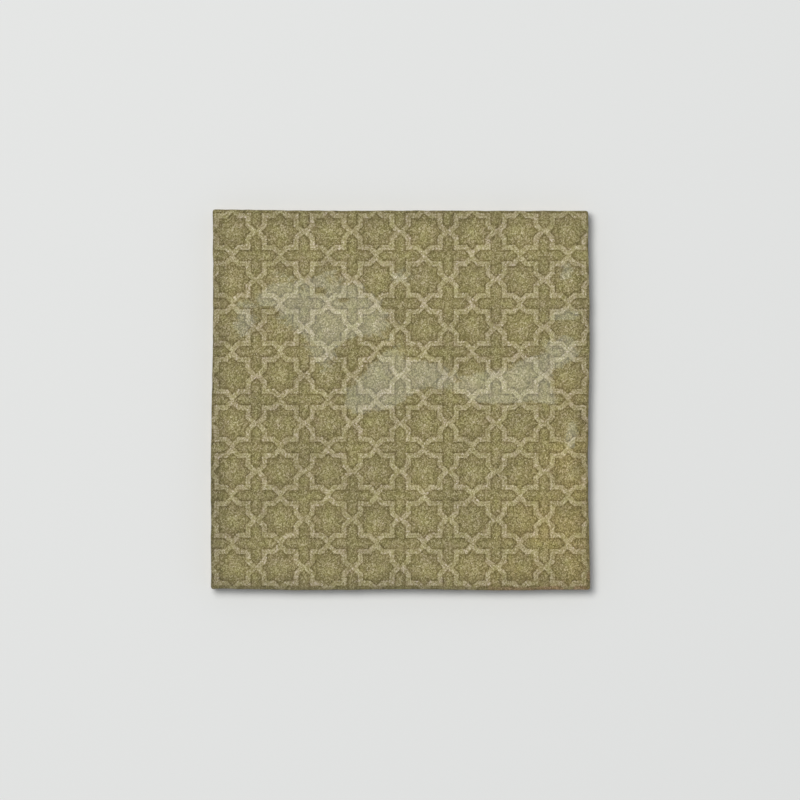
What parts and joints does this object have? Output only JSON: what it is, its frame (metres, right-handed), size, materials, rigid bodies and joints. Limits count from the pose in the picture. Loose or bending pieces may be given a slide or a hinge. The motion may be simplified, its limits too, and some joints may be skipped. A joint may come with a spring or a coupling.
{
  "type": "glazed ceramic wall tile",
  "caption": "Square glossy ceramic wall tile with wavy hand-made edges, a star-and-cross print under a swelling glaze and a keyed back for adhesive.",
  "frame": {"origin": "under the middle of the tile's outline, on the level of the ribs of its back", "axes": "+Z out of the glazed face, +X and +Y along the tile's sides"},
  "size_m": [0.1326, 0.1332, 0.0089],
  "materials": {
    "glaze": "glossy olive glaze over a paler star-and-cross print"
  },
  "bodies": {
    "root": {"tile": "glaze"}
  },
  "joints": []
}
